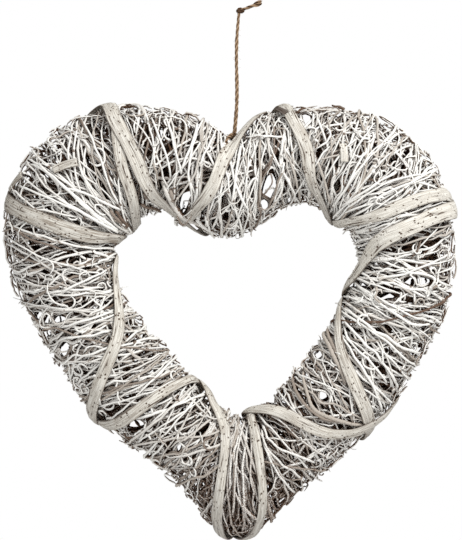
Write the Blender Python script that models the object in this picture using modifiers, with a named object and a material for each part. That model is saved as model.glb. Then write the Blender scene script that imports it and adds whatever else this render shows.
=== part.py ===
"""A hanging heart of thin whitewashed twigs, wound with single vines and broad bark strips, on a jute cord.

Metres, +Z up, the front towards -Y. The origin is the knot at the top of the cord, where the heart hangs.
The ring is a closed run of oval sections. A place on it has two numbers: the share of the way round the
heart, clockwise from the cleft as seen from the front, and the angle round the section, which is 0 at the
outer edge, 90 at the front, 180 at the inner edge and 270 at the back.
"""

import math

import bmesh
import bpy
import numpy as np
from mathutils import Matrix

# Overall sizes of the wound ring, without the bark strips
heart_width = 0.343
heart_height = 0.329
tube_width = 0.080
tube_depth = 0.070
hang_lean_deg = 1.7

# Cord, from the knot that hangs on the hook down to the hitch on the cleft
cord_drop = 0.091
cord_diameter = 0.0034
cord_bow = 0.0009
knot_turn_radius = 0.0019
knot_strand = 0.0017
tail_length = 0.015
tail_diameter = 0.0022
hitch_width = 0.0078
hitch_height = 0.0052
cleft_side_shift = 0.0065

# Windings
vine_count = 18
vine_diameter = 0.0032
vine_sway_share = 0.034
strip_width = 0.0115
strip_thickness = 0.0018
strip_crown = 0.0007
scrap_length = 0.019
scrap_width = 0.0080
groove_depth = 0.0024
touch_gap = 0.0003
crossing_gap = 0.0008

# How finely the solids are faceted
ring_stations = 96
ring_sides = 16
vine_points = 18
strip_rows = 20
cord_points = 22
knot_points = 24

# The heart is wound by hand, so its halves differ. Each half runs from the cleft over the lobe and down to
# the point: the section's centre as a share of the widest half across and of the drop from cleft to point,
# the way that the section faces, in degrees from straight outwards, and its width as a share of the tube's
CLEFT = (0.000, 0.003, 90, 0.98)
RIGHT_HALF = [
    (0.213, -0.070, 101, 0.91),
    (0.465, -0.097, 92, 0.96),
    (0.845, -0.001, 45, 1.09),
    (1.000, 0.199, -2, 0.97),
    (0.962, 0.386, -22, 0.95),
    (0.870, 0.500, -32, 0.94),
    (0.597, 0.712, -41, 0.93),
    (0.341, 0.861, -46, 0.89),
    (0.147, 0.950, -64, 0.95),
]
LEFT_HALF = [
    (0.215, -0.068, 101, 0.98),
    (0.465, -0.097, 92, 1.05),
    (0.853, -0.007, 45, 1.23),
    (0.996, 0.199, -2, 1.04),
    (0.925, 0.377, -22, 0.91),
    (0.827, 0.485, -32, 0.90),
    (0.561, 0.694, -41, 0.93),
    (0.310, 0.842, -46, 0.84),
    (0.137, 0.936, -64, 0.95),
]
POINT = (0.000, 1.003, -90, 1.13)
WIDEST_SHARE = max(row[3] for row in RIGHT_HALF + LEFT_HALF + [POINT])
LOBE_RISE_SHARE = 0.097

# Each bark strip goes once round the ring. Its places at the outer edge, the front and the inner edge and
# half way between these, its width as a share of the usual strip, and whether it runs over the others
STRIP_DEG = (0, 45, 90, 135, 180)
STRIPS = [
    (0.066, 0.071, 0.079, 0.087, 0.122, 1.00, True),
    (0.194, 0.195, 0.203, 0.228, 0.280, 1.40, True),
    (0.352, 0.396, 0.418, 0.430, 0.456, 1.05, True),
    (0.512, 0.517, 0.522, 0.544, 0.590, 1.00, True),
    (0.639, 0.653, 0.671, 0.704, 0.762, 1.15, True),
    (0.891, 0.893, 0.904, 0.927, 0.962, 1.30, True),
    (0.050, -0.005, -0.022, -0.035, -0.044, 0.85, False),
    (0.188, 0.183, 0.182, 0.176, 0.145, 1.00, False),
    (0.388, 0.375, 0.358, 0.333, 0.300, 1.05, False),
    (0.500, 0.488, 0.476, 0.460, 0.450, 0.85, False),
    (0.634, 0.621, 0.616, 0.609, 0.600, 1.05, False),
    (0.822, 0.813, 0.807, 0.803, 0.808, 1.30, False),
    (0.891, 0.890, 0.891, 0.895, 0.882, 1.00, False),
]
SCRAP_SHARE_AND_DEG = (0.8515, 65)
SCRAP_HEADING_DEG = 20
HITCH_SHARE = 0.009
POINT_SHARE = 0.5
HITCH_FREE_SHARE = 0.024
POINT_FREE_SHARE = 0.038
VINE_CALM_SHARE = 0.18
BUNDLE_SLANT_SHARE = 0.016
BUNDLE_WAVES = 5
KNOT_LOOP_SHARE = 0.45
TAILS = ((0.34, 0.02), (0.46, -0.02))
BACK_CUT_DEG = 3.5
VINE_GAP_DEG = 14

FRONT = np.array([0.0, -1.0, 0.0])


def seat(points_per_turn):
    """The height that clears a round section when its cover has only that many flat sides."""
    widest = max(tube_width * WIDEST_SHARE, tube_depth) / 2
    return touch_gap + widest * (1 - math.cos(math.pi / points_per_turn))


def body_lift():
    """How far the twig body lies under the ring's surface, so that the vines on it just clear it."""
    return -vine_diameter - seat(vine_points)


def strip_lift():
    """How far a strip's inner face lies over the vines."""
    return seat(strip_rows)


def over_lift():
    """How much higher a strip lies where it runs over another."""
    return strip_thickness + strip_crown + seat(strip_rows) - touch_gap + crossing_gap


def whole_heart():
    """The sections of both halves, clockwise from the cleft: across, down, facing angle and width share."""
    left = [(-across, down, -180 - facing, share) for across, down, facing, share in LEFT_HALF]
    return np.array([CLEFT] + RIGHT_HALF + [POINT] + left[::-1])


def closed_spline(knots, values, at, gain):
    """A smooth periodic curve through values at knots, which grows by gain on each way round."""
    ends = np.append(values, values[0] + gain)
    steps = np.diff(np.append(knots, 1.0))
    slopes = np.diff(ends) / steps
    count = len(knots)
    bend_matrix = np.zeros((count, count))
    for i in range(count):
        bend_matrix[i, i - 1] += steps[i - 1]
        bend_matrix[i, i] += 2 * (steps[i - 1] + steps[i])
        bend_matrix[i, (i + 1) % count] += steps[i]
    bends = np.linalg.solve(bend_matrix, 6 * (slopes - np.roll(slopes, 1)))
    rounds = np.floor(at)
    share = at - rounds
    i = np.clip(np.searchsorted(knots, share, side="right") - 1, 0, count - 1)
    j = (i + 1) % count
    before = share - knots[i]
    after = steps[i] - before
    curve = (bends[i] * after**3 + bends[j] * before**3) / (6 * steps[i])
    line_start = ends[i] / steps[i] - bends[i] * steps[i] / 6
    line_end = ends[i + 1] / steps[i] - bends[j] * steps[i] / 6
    return curve + line_start * after + line_end * before + rounds * gain


half_across = (heart_width - tube_width) / 2
centre_drop = (heart_height - tube_width * (1 + POINT[3]) / 2) / (1 + LOBE_RISE_SHARE)
SECTIONS = whole_heart() * [half_across, centre_drop, 1, 1]
CHORDS = np.linalg.norm(np.roll(SECTIONS[:, :2], -1, axis=0) - SECTIONS[:, :2], axis=1)
KNOTS = np.concatenate([[0], np.cumsum(CHORDS)[:-1]]) / CHORDS.sum()


def section(round_share):
    """Centre, outward direction and half width of the sections at these shares of the way round."""
    at = np.asarray(round_share, float)
    across = closed_spline(KNOTS, SECTIONS[:, 0], at, 0)
    down = closed_spline(KNOTS, SECTIONS[:, 1], at, 0)
    lean = math.radians(hang_lean_deg)
    facing = np.radians(closed_spline(KNOTS, SECTIONS[:, 2], at, -360)) + lean
    half_width = closed_spline(KNOTS, SECTIONS[:, 3], at, 0) * tube_width / 2
    cleft_z = -cord_drop - tube_width / 2 - hitch_height / 2
    x = -cleft_side_shift + across * math.cos(lean) + down * math.sin(lean)
    z = cleft_z + across * math.sin(lean) - down * math.cos(lean)
    level = np.zeros_like(x)
    centre = np.stack([x, level, z], axis=-1)
    outward = np.stack([np.cos(facing), level, np.sin(facing)], axis=-1)
    return centre, outward, half_width


def ring_point(round_share, angle, lift):
    """Points on the ring, at an angle round the section in radians and a height over its surface."""
    centre, outward, half_width = section(round_share)
    wide = ((half_width + lift) * np.cos(angle))[..., None]
    deep = ((tube_depth / 2 + lift) * np.sin(angle))[..., None]
    return centre + outward * wide + FRONT * deep


def natural_spline(knots, values, at):
    """A smooth open curve through values at knots."""
    steps = np.diff(knots)
    slopes = np.diff(values) / steps
    count = len(knots)
    bend_matrix = np.eye(count)
    right_side = np.zeros(count)
    for i in range(1, count - 1):
        bend_matrix[i, i - 1 : i + 2] = steps[i - 1], 2 * (steps[i - 1] + steps[i]), steps[i]
        right_side[i] = 6 * (slopes[i] - slopes[i - 1])
    bends = np.linalg.solve(bend_matrix, right_side)
    i = np.clip(np.searchsorted(knots, at, side="right") - 1, 0, count - 2)
    before = at - knots[i]
    after = steps[i] - before
    curve = (bends[i] * after**3 + bends[i + 1] * before**3) / (6 * steps[i])
    line_start = values[i] / steps[i] - bends[i] * steps[i] / 6
    line_end = values[i + 1] / steps[i] - bends[i + 1] * steps[i] / 6
    return curve + line_start * after + line_end * before


def strip_laps(over):
    """One list of (angles, shares, width share) for the strips that run over, or under, the others.

    A lap starts and ends half way across the back, between its own place and its neighbour's.
    """
    laps = sorted((row for row in STRIPS if row[6] == over), key=lambda row: row[2])
    made = []
    for i, (*places, width, _) in enumerate(laps):
        last = laps[i - 1]
        following = laps[(i + 1) % len(laps)]
        last_turn = 1 if i == 0 else 0
        next_turn = 1 if i == len(laps) - 1 else 0
        outer, inner = places[0], places[-1]
        if over:
            start = (last[4] - last_turn + outer) / 2
            end = (inner + following[0] + next_turn) / 2
        else:
            start = (outer + following[4] + next_turn) / 2
            end = (last[0] - last_turn + inner) / 2
        angles = np.radians([-90, *STRIP_DEG, 270])
        made.append((angles, np.array([start, *places, end]), width))
    return made


def lap_places(lap, rows):
    """The shares and angles along one strip, cut a little short at the back."""
    cut = math.radians(BACK_CUT_DEG)
    angle = np.linspace(-math.pi / 2 + cut, 1.5 * math.pi - cut, rows + 1)
    return natural_spline(lap[0], lap[1], angle), angle


def crossing_lift(points, under_points, reach):
    """Raises a strip over the others: all the way where they meet, and not at all further off."""
    away = np.linalg.norm(points[:, None] - under_points[None], axis=2).min(axis=1)
    near = np.clip((2.1 * reach - away) / (0.9 * reach), 0, 1)
    return over_lift() * near * near * (3 - 2 * near)


def new_material(name, colour, roughness):
    material = bpy.data.materials.new(name)
    material.use_nodes = True
    shader = material.node_tree.nodes["Principled BSDF"]
    shader.inputs["Base Color"].default_value = (*colour, 1)
    shader.inputs["Roughness"].default_value = roughness
    shader.inputs["Metallic"].default_value = 0
    return material


def add_object(name, data, material, collection):
    made = bpy.data.objects.new(name, data)
    data.materials.append(material)
    collection.objects.link(made)
    return made


def add_twig_body(material, collection):
    """The wound mass of twigs: a torus laid along the heart, with a groove between its bundles."""
    bpy.ops.mesh.primitive_torus_add(
        major_segments=ring_stations, minor_segments=ring_sides, major_radius=1, minor_radius=0.25
    )
    body = bpy.context.object
    body.name = "twig_body"
    for owner in list(body.users_collection):
        owner.objects.unlink(body)
    collection.objects.link(body)
    body.data.materials.append(material)
    for vertex in body.data.vertices:
        x, y, z = vertex.co
        row = round(-math.atan2(y, x) / (2 * math.pi) * ring_stations) % ring_stations
        angle = math.atan2(z, math.hypot(x, y) - 1)
        share = row / ring_stations
        slant = BUNDLE_SLANT_SHARE * math.sin(2 * math.pi * BUNDLE_WAVES * share)
        groove = groove_depth if row % 2 else 0.0
        place = share + slant * math.cos(angle)
        vertex.co = ring_point(place, angle, body_lift() - groove)
    body.data.update()
    body.data.shade_smooth()
    body.data.set_sharp_from_angle(angle=math.radians(50))
    return body


def add_round_run(name, points, diameter, sides_level, material, collection, closed=False):
    """A vine, cord or knot: a run of straight lengths with a round section."""
    curve = bpy.data.curves.new(name, "CURVE")
    curve.dimensions = "3D"
    curve.bevel_depth = diameter / 2
    curve.bevel_resolution = sides_level
    curve.use_fill_caps = not closed
    spline = curve.splines.new("POLY")
    spline.points.add(len(points) - 1)
    for spot, place in zip(spline.points, points):
        spot.co = (*place, 1)
    spline.use_cyclic_u = closed
    return add_object(name, curve, material, collection)


def add_vines(material, collection):
    """Single vines, each laid once round the ring on the same slant, with its ends apart at the back."""
    gap = math.radians(VINE_GAP_DEG)
    angle = np.linspace(-math.pi / 2 + gap, 1.5 * math.pi - gap, vine_points)
    shares = (np.arange(vine_count) + 0.5) / vine_count
    for number, share in enumerate(shares, start=1):
        hitch_place = HITCH_SHARE - vine_sway_share
        for place, room in ((hitch_place, HITCH_FREE_SHARE), (POINT_SHARE, POINT_FREE_SHARE)):
            off = (share - place + 0.5) % 1 - 0.5
            if abs(off) < room:
                share += math.copysign(room, off) - off
        near_point = abs(share - POINT_SHARE)
        sway = vine_sway_share * min(1.0, near_point / VINE_CALM_SHARE)
        place = share + sway * np.cos(angle)
        points = ring_point(place, angle, np.full_like(angle, -vine_diameter / 2))
        add_round_run(f"vine_wrap_{number:02d}", points, vine_diameter, 0, material, collection)


def ribbon_frame(share, angle, lift):
    """Points of a path on the ring, and how far round and about one metre sideways takes them."""
    nudge = 1e-4
    points = ring_point(share, angle, lift)
    along_ring = (ring_point(share + nudge, angle, lift) - points) / nudge
    about = (ring_point(share, angle + nudge, lift) - points) / nudge
    normal = np.cross(about, along_ring)
    normal /= np.linalg.norm(normal, axis=1)[:, None]
    tangent = np.gradient(points, axis=0)
    side = np.cross(tangent, normal)
    side /= np.linalg.norm(side, axis=1)[:, None]
    ring_length = np.maximum((along_ring**2).sum(axis=1), 1e-9)
    side_share = (side * along_ring).sum(axis=1) / ring_length
    side_angle = (side * about).sum(axis=1) / (about**2).sum(axis=1)
    return side_share, side_angle


def add_ribbon(name, share, angle, lift, width, material, collection):
    """A strip of bark: a grid laid on the ring along its path, crowned and then thickened outwards."""
    rows = len(share) - 1
    side_share, side_angle = ribbon_frame(share, angle, lift)
    shape = bmesh.new()
    bmesh.ops.create_grid(shape, x_segments=2, y_segments=rows, size=0.5)
    for vertex in shape.verts:
        row = round((vertex.co.y + 0.5) * rows)
        across = round(vertex.co.x * 2) / 2 * width
        crown = strip_crown if across == 0 else 0.0
        place = share[row] + side_share[row] * across
        turn = angle[row] + side_angle[row] * across
        vertex.co = ring_point(place, turn, lift[row] + crown)
    mesh = bpy.data.meshes.new(name)
    shape.to_mesh(mesh)
    shape.free()
    strip = add_object(name, mesh, material, collection)
    mesh.shade_smooth()
    mesh.set_sharp_from_angle(angle=math.radians(40))
    thicken = strip.modifiers.new("Thickness", "SOLIDIFY")
    thicken.thickness = strip_thickness
    thicken.offset = 1
    return strip


def add_strips(material, collection):
    """The bark strips: the laps that lie on the twigs, then the laps that run over those."""
    under = []
    number = 1
    for lap in strip_laps(False):
        share, angle = lap_places(lap, strip_rows)
        lift = np.full_like(angle, strip_lift())
        fine_share, fine_angle = lap_places(lap, 4 * strip_rows)
        under.append(ring_point(fine_share, fine_angle, np.full_like(fine_angle, strip_lift())))
        name = f"bark_strip_{number:02d}"
        add_ribbon(name, share, angle, lift, strip_width * lap[2], material, collection)
        number += 1
    under = np.concatenate(under)
    for lap in strip_laps(True):
        share, angle = lap_places(lap, strip_rows)
        flat = np.full_like(angle, strip_lift())
        reach = strip_width * lap[2]
        lift = flat + crossing_lift(ring_point(share, angle, flat), under, reach)
        name = f"bark_strip_{number:02d}"
        add_ribbon(name, share, angle, lift, reach, material, collection)
        number += 1
    share, angle_deg = SCRAP_SHARE_AND_DEG
    turn = math.radians(angle_deg)
    nudge = 0.001
    ends = ring_point(share + np.array([-nudge, nudge]), np.full(2, turn), np.zeros(2))
    metres_per_share = np.linalg.norm(ends[1] - ends[0]) / (2 * nudge)
    heading = math.radians(SCRAP_HEADING_DEG)
    along = scrap_length * np.linspace(-0.5, 0.5, 4)
    place = share + math.cos(heading) / metres_per_share * along
    angle = turn + math.sin(heading) / (tube_depth / 2) * along
    lift = np.full_like(angle, strip_lift())
    add_ribbon("bark_scrap", place, angle, lift, scrap_width, material, collection)


def add_cord(material, collection):
    """The jute: the taut cord, the knot that it hangs by with its two cut ends, and the hitch at its foot."""
    foot = ring_point(np.array([HITCH_SHARE]), np.zeros(1), np.array([body_lift()]))[0]
    hitch_middle = foot + [0, 0, touch_gap + hitch_height / 2]
    bpy.ops.mesh.primitive_uv_sphere_add(segments=12, ring_count=8, radius=0.5)
    hitch = bpy.context.object
    hitch.name = "jute_hitch"
    for owner in list(hitch.users_collection):
        owner.objects.unlink(hitch)
    collection.objects.link(hitch)
    hitch.data.materials.append(material)
    hitch.data.transform(Matrix.Diagonal((hitch_width, hitch_width, hitch_height, 1)))
    hitch.data.transform(Matrix.Translation(hitch_middle))
    hitch.data.shade_smooth()

    knot_reach = knot_turn_radius * (1 + KNOT_LOOP_SHARE) + knot_strand / 2
    low = hitch_middle + [0, 0, hitch_height / 2 + touch_gap]
    high = np.array([0, 0, -knot_reach - touch_gap])
    rise = np.linspace(0, 1, cord_points)[:, None]
    bow = cord_bow * np.sin(2 * math.pi * rise) * [1, 0, 0]
    add_round_run("jute_cord", low + (high - low) * rise + bow, cord_diameter, 2, material, collection)

    turn = np.linspace(0, 2 * math.pi, knot_points, endpoint=False)
    ring = knot_turn_radius * (1 + KNOT_LOOP_SHARE * np.cos(3 * turn))
    depth = (knot_strand + touch_gap) / 2 * np.sin(3 * turn)
    knot = np.stack([ring * np.sin(2 * turn), depth, ring * np.cos(2 * turn)], axis=1)
    add_round_run("jute_knot", knot, knot_strand, 2, material, collection, closed=True)

    start = np.array([knot_reach + touch_gap, 0, 0])
    run = np.linspace(0, tail_length, 7)
    for number, (slope, depth_turn) in enumerate(TAILS, start=1):
        side = 1 if slope > TAILS[0][0] else -1
        lift = slope * run**2 / tail_length + 0.08 * tail_length * np.sin(math.pi * run / tail_length)
        depth = side * -0.5 * (tail_diameter + touch_gap) * np.ones_like(run) + depth_turn * run
        points = start + np.stack([run, depth, lift], axis=1)
        add_round_run(f"jute_tail_{number}", points, tail_diameter, 2, material, collection)


def build():
    for old in list(bpy.data.objects):
        bpy.data.objects.remove(old)
    heart = bpy.data.collections.new("Twig heart")
    bpy.context.scene.collection.children.link(heart)
    twig = new_material("Whitewashed twig", (0.62, 0.58, 0.53), 0.85)
    vine = new_material("Whitewashed vine", (0.78, 0.75, 0.70), 0.8)
    bark = new_material("Whitewashed bark", (0.80, 0.77, 0.70), 0.8)
    jute = new_material("Jute", (0.42, 0.28, 0.16), 0.95)
    add_twig_body(twig, heart)
    add_vines(vine, heart)
    add_strips(bark, heart)
    add_cord(jute, heart)


build()
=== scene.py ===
import math

import bmesh
import bpy
import numpy as np
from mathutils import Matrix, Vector


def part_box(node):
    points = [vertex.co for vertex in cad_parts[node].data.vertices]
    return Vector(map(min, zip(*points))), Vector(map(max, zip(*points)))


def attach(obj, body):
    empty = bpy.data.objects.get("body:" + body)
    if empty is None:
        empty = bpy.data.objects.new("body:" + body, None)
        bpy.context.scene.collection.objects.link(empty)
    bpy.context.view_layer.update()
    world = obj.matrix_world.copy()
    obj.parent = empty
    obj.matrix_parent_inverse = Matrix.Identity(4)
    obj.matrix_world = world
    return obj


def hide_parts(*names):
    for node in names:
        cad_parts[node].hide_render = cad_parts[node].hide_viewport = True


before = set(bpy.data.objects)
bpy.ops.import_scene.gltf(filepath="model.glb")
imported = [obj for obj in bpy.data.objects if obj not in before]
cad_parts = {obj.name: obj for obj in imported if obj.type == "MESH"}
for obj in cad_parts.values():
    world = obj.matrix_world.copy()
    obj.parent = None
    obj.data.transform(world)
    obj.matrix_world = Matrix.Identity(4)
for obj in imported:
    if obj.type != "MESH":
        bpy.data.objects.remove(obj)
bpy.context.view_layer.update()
dice = np.random.default_rng(41)
print("frame loaded")


def addObject(name, data):
    made = bpy.data.objects.new(name, data)
    bpy.context.scene.collection.objects.link(made)
    return made


def unit(vectors):
    return vectors / np.linalg.norm(vectors, axis=-1, keepdims=True)


def travelledAlong(points):
    return np.append(0, np.cumsum(np.linalg.norm(np.diff(points, axis=0), axis=1)))


# Camera, straight at the front, with the knot near the top of the picture
shot = {"middle": (-0.0061, 0.0, -0.1971), "distance": 3.6, "pictureHeight": 0.4126}
cameraData = bpy.data.cameras.new("frontCamera")
cameraData.sensor_fit = "VERTICAL"
cameraData.sensor_height = 24
cameraData.lens = cameraData.sensor_height * shot["distance"] / shot["pictureHeight"]
camera = addObject("frontCamera", cameraData)
camera.location = Vector(shot["middle"]) + Vector((0, -shot["distance"], 0))
camera.rotation_euler = (math.radians(90), 0, 0)
bpy.context.scene.camera = camera

# The ring: sections from the cleft over each lobe to the point, as across, down, facing angle, width
heart = {
    "width": 0.343,
    "height": 0.329,
    "tubeWidth": 0.080,
    "tubeDepth": 0.070,
    "leanDeg": 1.7,
    "cordDrop": 0.091,
    "cleftShift": 0.0065,
    "hitchHeight": 0.0052,
    "lobeRise": 0.097,
    "cleft": (0.000, 0.003, 90, 0.98),
    "rightHalf": [
        (0.213, -0.070, 101, 0.91),
        (0.465, -0.097, 92, 0.96),
        (0.845, -0.001, 45, 1.09),
        (1.000, 0.199, -2, 0.97),
        (0.962, 0.386, -22, 0.95),
        (0.870, 0.500, -32, 0.94),
        (0.597, 0.712, -41, 0.93),
        (0.341, 0.861, -46, 0.89),
        (0.147, 0.950, -64, 0.95),
    ],
    "leftHalf": [
        (0.215, -0.068, 101, 0.98),
        (0.465, -0.097, 92, 1.05),
        (0.853, -0.007, 45, 1.23),
        (0.996, 0.199, -2, 1.04),
        (0.925, 0.377, -22, 0.91),
        (0.827, 0.485, -32, 0.90),
        (0.561, 0.694, -41, 0.93),
        (0.310, 0.842, -46, 0.84),
        (0.137, 0.936, -64, 0.95),
    ],
    "point": (0.000, 1.003, -90, 1.13),
}
leftRows = [(-across, down, -180 - facing, share) for across, down, facing, share in heart["leftHalf"]]
halfAcross = (heart["width"] - heart["tubeWidth"]) / 2
centreDrop = (heart["height"] - heart["tubeWidth"] * (1 + heart["point"][3]) / 2) / (1 + heart["lobeRise"])
sections = np.array([heart["cleft"]] + heart["rightHalf"] + [heart["point"]] + leftRows[::-1])
sections *= [halfAcross, centreDrop, 1, 1]
chords = np.linalg.norm(np.roll(sections[:, :2], -1, axis=0) - sections[:, :2], axis=1)
knots = np.concatenate([[0], np.cumsum(chords)[:-1]]) / chords.sum()


def cubicBetween(before, step, low, high, bendLow, bendHigh):
    after = step - before
    curve = (bendLow * after**3 + bendHigh * before**3) / (6 * step)
    lineStart = low / step - bendLow * step / 6
    lineEnd = high / step - bendHigh * step / 6
    return curve + lineStart * after + lineEnd * before


def closedSpline(values, at, gain):
    # smooth round the ring, through one value for each section, and higher by gain after each round
    ends = np.append(values, values[0] + gain)
    steps = np.diff(np.append(knots, 1.0))
    slopes = np.diff(ends) / steps
    count = len(knots)
    bendMatrix = np.zeros((count, count))
    for i in range(count):
        bendMatrix[i, i - 1] += steps[i - 1]
        bendMatrix[i, i] += 2 * (steps[i - 1] + steps[i])
        bendMatrix[i, (i + 1) % count] += steps[i]
    bends = np.linalg.solve(bendMatrix, 6 * (slopes - np.roll(slopes, 1)))
    rounds = np.floor(at)
    share = at - rounds
    i = np.clip(np.searchsorted(knots, share, side="right") - 1, 0, count - 1)
    j = (i + 1) % count
    return cubicBetween(share - knots[i], steps[i], ends[i], ends[i + 1], bends[i], bends[j]) + rounds * gain


def openSpline(at, values, where):
    steps = np.diff(at)
    slopes = np.diff(values) / steps
    count = len(at)
    bendMatrix = np.eye(count)
    rightSide = np.zeros(count)
    for i in range(1, count - 1):
        bendMatrix[i, i - 1 : i + 2] = steps[i - 1], 2 * (steps[i - 1] + steps[i]), steps[i]
        rightSide[i] = 6 * (slopes[i] - slopes[i - 1])
    bends = np.linalg.solve(bendMatrix, rightSide)
    i = np.clip(np.searchsorted(at, where, side="right") - 1, 0, count - 2)
    return cubicBetween(where - at[i], steps[i], values[i], values[i + 1], bends[i], bends[i + 1])


def ringPoint(share, angle, lift):
    # share of the way round from the cleft; angle 0 outer edge, 90 front, 180 inner edge; lift over the ring
    share = np.asarray(share, float)
    across = closedSpline(sections[:, 0], share, 0)
    down = closedSpline(sections[:, 1], share, 0)
    lean = math.radians(heart["leanDeg"])
    facing = np.radians(closedSpline(sections[:, 2], share, -360)) + lean
    halfWidth = closedSpline(sections[:, 3], share, 0) * heart["tubeWidth"] / 2
    cleftZ = -heart["cordDrop"] - heart["tubeWidth"] / 2 - heart["hitchHeight"] / 2
    wide = (halfWidth + lift) * np.cos(angle)
    deep = (heart["tubeDepth"] / 2 + lift) * np.sin(angle)
    x = -heart["cleftShift"] + across * math.cos(lean) + down * math.sin(lean) + wide * np.cos(facing)
    z = cleftZ + across * math.sin(lean) - down * math.cos(lean) + wide * np.sin(facing)
    return np.stack([x, -deep, z], axis=-1)


def outwardAt(share, angle, lift):
    return unit(ringPoint(share, angle, lift + 0.001) - ringPoint(share, angle, lift - 0.001))


# Places where the winding is thin and the backdrop shows through: x, z, half width, half height, tilt
gaps = np.array([
    (-0.0410, -0.1458, 0.0038, 0.0078, -0.10),
    (0.0233, -0.1337, 0.0046, 0.0082, -0.30),
    (0.0191, -0.1475, 0.0024, 0.0026, 0.0),
    (0.0512, -0.0817, 0.0026, 0.0034, 0.30),
    (0.0745, -0.1330, 0.0022, 0.0036, 0.10),
    (-0.1520, -0.2320, 0.0020, 0.0030, 0.10),
    (-0.1460, -0.2343, 0.0025, 0.0034, -0.20),
    (-0.1375, -0.2343, 0.0034, 0.0026, 0.40),
    (-0.1330, -0.2580, 0.0026, 0.0046, -0.10),
    (-0.0787, -0.3147, 0.0042, 0.0030, 0.20),
    (-0.0459, -0.3327, 0.0016, 0.0026, 0.0),
    (0.1322, -0.2055, 0.0052, 0.0028, 0.0),
    (0.1421, -0.2055, 0.0040, 0.0028, 0.0),
    (0.1122, -0.2168, 0.0060, 0.0030, 0.0),
    (0.0607, -0.2613, 0.0026, 0.0030, 0.0),
    (0.0642, -0.2926, 0.0030, 0.0028, -0.3),
])
gapReach = 3.2  # how far from a gap's middle the twigs give way, in its half widths
gapMargin = 0.014  # how near a gap's edge a twig is given more points


def openGaps(points):
    # moves each pass of a twig through a gap sideways, to a distance of its own from the middle
    for x, z, halfWide, halfTall, tilt in gaps:
        offX, offZ = points[:, 0] - x, points[:, 2] - z
        place = np.stack([(offX * math.cos(tilt) + offZ * math.sin(tilt)) / halfWide,
                          (offZ * math.cos(tilt) - offX * math.sin(tilt)) / halfTall], axis=1)
        away = np.linalg.norm(place, axis=1)
        side = np.where(away < gapReach, 1 + (points[:, 1] > 0), 0)  # 1 in front, 2 behind
        turns = np.flatnonzero(np.diff(np.concatenate([[0], side, [0]])))
        for first, last in zip(turns[:-1], turns[1:]):
            if side[first] == 0:
                continue
            closest = first + int(np.argmin(away[first:last]))
            rim = dice.uniform(1.05, 2.3)
            if last - first < 3 or away[closest] >= rim:
                continue
            heading = place[min(closest + 1, len(place) - 1)] - place[max(closest - 1, 0)]
            heading /= np.linalg.norm(heading)
            across = np.array([-heading[1], heading[0]])
            offset = place[closest] @ across
            along = np.clip((place[first:last] - place[closest]) @ heading / gapReach, -1, 1)
            shift = (math.copysign(rim, offset) - offset) * np.cos(along * math.pi / 2) ** 2
            place[first:last] += shift[:, None] * across
        points[:, 0] = x + place[:, 0] * halfWide * math.cos(tilt) - place[:, 1] * halfTall * math.sin(tilt)
        points[:, 2] = z + place[:, 1] * halfTall * math.cos(tilt) + place[:, 0] * halfWide * math.sin(tilt)
    return points


# How well the whitewash covers each region, partly painted light and shade (brighter lobes, a darker point):
# x, z, amount
coatAndShadeSpots = np.array([
    (-0.129, -0.117, 1.50),
    (-0.055, -0.107, 1.02),
    (0.070, -0.105, 1.48),
    (0.119, -0.113, 1.36),
    (0.127, -0.212, 1.45),
    (-0.137, -0.212, 1.24),
    (-0.051, -0.319, 1.22),
    (0.044, -0.323, 0.94),
    (0.001, -0.354, 0.45),
])
coatAndShadeReach = 0.035  # how far a region's amount carries


def coatAndShadeAt(points):
    away = ((points[:, None, [0, 2]] - coatAndShadeSpots[None, :, :2]) ** 2).sum(axis=2)
    weight = np.exp(-away / (2 * coatAndShadeReach**2)) + 1e-9
    return (weight * coatAndShadeSpots[:, 2]).sum(axis=1) / weight.sum(axis=1)


def writeAttribute(mesh, label, values):
    kind, field = ("FLOAT", "value") if values.ndim == 1 else ("FLOAT_VECTOR", "vector")
    mesh.attributes.new(label, kind, "POINT").data.foreach_set(field, values.astype(np.float32).ravel())


# One mesh of many tapered tubes, with what the paint needs to know kept on its points
def tubeMesh(name, runs, sides):
    curve = bpy.data.curves.new(name, "CURVE")
    curve.dimensions = "3D"
    curve.bevel_depth = 1.0
    curve.bevel_resolution = (sides - 4) // 2
    curve.use_fill_caps = True
    for run in runs:
        spline = curve.splines.new("POLY")
        spline.points.add(len(run["points"]) - 1)
        spline.points.foreach_set("co", np.c_[run["points"], np.ones(len(run["points"]))].ravel())
        spline.points.foreach_set("radius", run["radii"])
    holder = addObject(name, curve)
    bpy.context.view_layer.update()
    mesh = bpy.data.meshes.new_from_object(holder.evaluated_get(bpy.context.evaluated_depsgraph_get()))
    bpy.data.objects.remove(holder)

    def spread(read):
        # the points of the end caps come first, from the last tube to the first, then those of the walls
        walls = [read(run) for run in runs]
        caps = [end for wall in reversed(walls) for end in (wall[-1:], wall[:1])]
        return np.concatenate([np.repeat(values, sides, axis=0) for values in caps + walls])

    normals = np.zeros(len(mesh.vertices) * 3)
    mesh.vertex_normals.foreach_get("vector", normals)
    facing = (normals.reshape(-1, 3) * spread(lambda run: run["out"])).sum(axis=1)
    along = spread(lambda run: travelledAlong(run["points"]))
    tone = spread(lambda run: np.full(len(run["points"]), run["tone"]))
    turn = 2 * math.pi * np.tile(np.arange(sides) / sides, len(mesh.vertices) // sides)
    # round and along the tube, and each tube in a place of its own
    place = np.stack([np.cos(turn) * 0.001, np.sin(turn) * 0.001, along + tone * 9], axis=1)
    writeAttribute(mesh, "facing", facing)
    writeAttribute(mesh, "depth", spread(lambda run: run["depth"]))
    writeAttribute(mesh, "tone", tone)
    writeAttribute(mesh, "coatAndShade", spread(lambda run: coatAndShadeAt(run["points"])))
    writeAttribute(mesh, "place", place)
    shape = bmesh.new()
    shape.from_mesh(mesh)
    bmesh.ops.remove_doubles(shape, verts=shape.verts, dist=1e-7)
    shape.to_mesh(mesh)
    shape.free()
    mesh.name = name
    mesh.shade_smooth()
    piece = addObject(name, mesh)
    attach(piece, "root")
    return piece


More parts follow.
